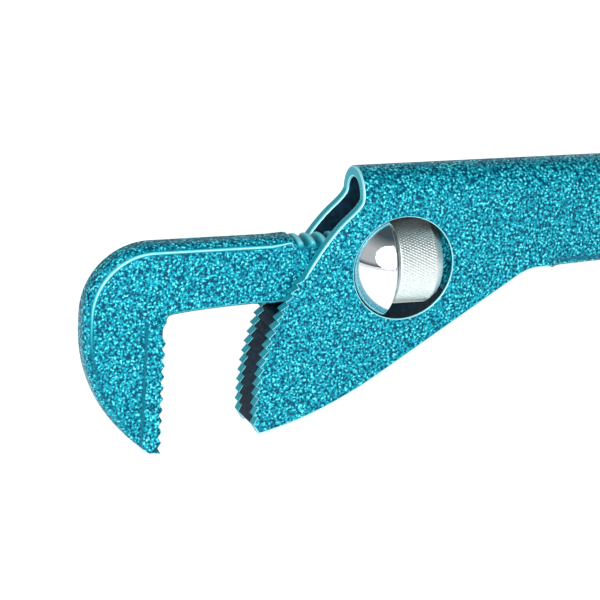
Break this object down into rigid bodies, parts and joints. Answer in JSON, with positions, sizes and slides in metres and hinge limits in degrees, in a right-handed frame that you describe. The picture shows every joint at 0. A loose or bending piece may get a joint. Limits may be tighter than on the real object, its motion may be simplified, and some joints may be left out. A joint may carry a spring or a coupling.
{
  "type": "pipe wrench",
  "caption": "One-hand pipe wrench: folded sheet-steel handle with a toothed lower jaw, sliding hook jaw on a threaded shank, adjusting nut in round windows.",
  "frame": {"origin": "centre of the wrench's box at its lowest height: the wrench stands as it grips a level pipe, hook tip down", "axes": "+X along the handle away from the jaws, +Y through the wrench's thickness, +Z from the jaw tips toward the handle's fold"},
  "size_m": [0.3524, 0.0382, 0.0967],
  "materials": {
    "hammered_enamel": "teal-blue hammered enamel, light blobs in a darker net",
    "bright_chrome": "mirror-bright chrome plate",
    "satin_chrome": "satin chrome over a fine diamond knurl",
    "spring_steel": "bright rolled spring steel",
    "zinc_steel": "bright zinc-plated steel"
  },
  "bodies": {
    "handle": {"handle_shell": "hammered_enamel", "lower_jaw_insert": "hammered_enamel", "leaf_spring": "spring_steel", "spring_pin": "zinc_steel", "hanging_eyelet": "zinc_steel"},
    "thrust_ring": {"domed_thrust_ring": "bright_chrome"},
    "hook": {"hook_jaw": "hammered_enamel", "shank_stop_pin": "zinc_steel"},
    "nut": {"knurled_nut": "satin_chrome"}
  },
  "joints": [
    {"name": "jaw_rock", "type": "hinge", "parent": "handle", "child": "thrust_ring", "pos_m": [-0.06375, 0, 0.0622], "axis": [0, 1, 0], "range_deg": [-2.5, 2.5], "stiffness_Nm_per_rad": 10, "deforming": ["leaf_spring"]},
    {"name": "jaw_slide", "type": "slide", "parent": "thrust_ring", "child": "hook", "axis": [1, 0, 0], "range_m": [-0.015, 0.021]},
    {"name": "nut_spin", "type": "hinge", "parent": "thrust_ring", "child": "nut", "pos_m": [-0.06375, 0, 0.0622], "axis": [1, 0, 0], "range_deg": [-1681, 1201]}
  ],
  "couplings": [
    {"joint": "nut_spin", "follows": "jaw_slide", "rad_per_m": -1396.3}
  ]
}
